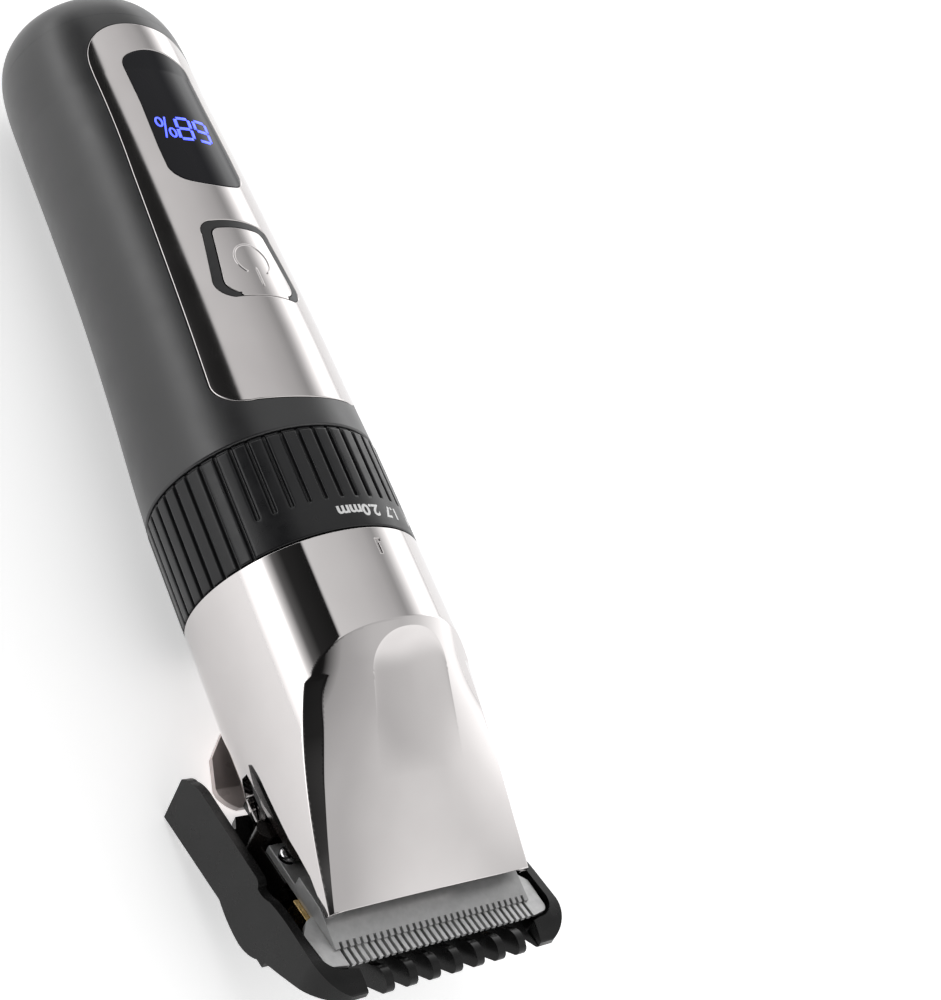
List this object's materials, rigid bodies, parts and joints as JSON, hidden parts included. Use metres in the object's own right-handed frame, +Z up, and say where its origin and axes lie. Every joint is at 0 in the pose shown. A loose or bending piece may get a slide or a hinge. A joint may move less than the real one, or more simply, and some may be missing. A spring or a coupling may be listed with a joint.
{
  "type": "cordless pet clipper",
  "caption": "Cordless hair clipper for pets: a round barrel with a display and a power key, a ribbed blade-length ring, a plated head, a toothed blade pair and a push-on guard comb.",
  "frame": {"origin": "middle of the clipper's box, on the plane it rests on, lying on its back with the guard comb on", "axes": "+Z up, through the front panel; +Y towards the barrel's tail and -Y towards the blade, with the barrel's axis 1.85 degrees nose up; +X to the right seen from the tail with the panel up"},
  "size_m": [0.0488, 0.1858, 0.0411],
  "materials": {
    "soft_touch": "matte soft-touch",
    "trim_metal": "bright gunmetal plating",
    "head_chrome": "mirror plating",
    "lens": "gloss black",
    "led": "lit blue",
    "seal_black": "matte",
    "ring_black": "fine matte, ribbed",
    "cam_nylon": "natural",
    "frame_black": "moulded",
    "comb_black": "fine moulded",
    "chassis_grey": "moulded",
    "steel": "bright zinc",
    "blade_steel": "sand-blasted",
    "blade_dark": "dark satin",
    "brass": "satin",
    "magnet": "sintered",
    "cell_wrap": "shrink wrap",
    "circuit": "solder mask",
    "wire": "insulation"
  },
  "bodies": {
    "handle": {"barrel_housing": "soft_touch", "front_panel": "trim_metal", "display_lens": "lens", "button_gasket": "seal_black", "port_trim": "seal_black", "seal_ring": "seal_black", "detent_ball": "steel", "head_shell": "head_chrome", "heel_plate": "head_chrome", "head_liner": "frame_black", "inner_chassis": "chassis_grey", "damper_ring": "seal_black", "motor_can": "steel", "motor_bearing": "brass", "motor_magnets": "magnet", "motor_screws": "steel", "battery_cell": "cell_wrap", "battery_tabs": "steel", "control_board": "circuit", "board_screws": "steel", "tact_switch": "frame_black", "display_module": "frame_black", "digit_segments": "led", "charge_socket": "steel", "socket_board": "circuit", "motor_leads": "wire", "fixed_blade": "blade_steel", "blade_frame": "frame_black", "blade_screws": "steel", "brass_spacers": "brass"},
    "ring": {"length_ring": "ring_black", "cam_sleeve": "cam_nylon"},
    "button": {"power_button": "trim_metal"},
    "rotor": {"motor_rotor": "steel", "eccentric_cam": "cam_nylon"},
    "cutter": {"moving_blade": "blade_dark", "drive_yoke": "cam_nylon"},
    "carriage": {"blade_carriage": "frame_black", "blade_springs": "steel"},
    "comb": {"guard_comb": "comb_black"}
  },
  "joints": [
    {"name": "ring_turn", "type": "hinge", "parent": "handle", "child": "ring", "pos_m": [0, -0.02885, 0.02061], "axis": [0, -0.9995, 0.0323], "range_deg": [0, 80]},
    {"name": "length_adjust", "type": "slide", "parent": "handle", "child": "carriage", "axis": [0, -0.9345, 0.3559], "range_m": [0, 0.0012]},
    {"name": "blade_stroke", "type": "slide", "parent": "carriage", "child": "cutter", "axis": [1, 0, 0], "range_m": [-0.0012, 0.0012]},
    {"name": "motor_spin", "type": "hinge", "parent": "handle", "child": "rotor", "pos_m": [0, -0.02885, 0.02061], "axis": [0, 0.9995, -0.0323], "continuous": true},
    {"name": "button_press", "type": "hinge", "parent": "handle", "child": "button", "pos_m": [0, 0.01726, 0.03873], "axis": [-1, 0, 0], "range_deg": [0, 2.5], "stiffness_Nm_per_rad": 0.2},
    {"name": "comb_pull", "type": "slide", "parent": "handle", "child": "comb", "axis": [0, -0.9345, 0.3559], "range_m": [0, 0.03]}
  ],
  "couplings": [
    {"joint": "length_adjust", "follows": "ring_turn", "m_per_rad": 0.00085944}
  ]
}
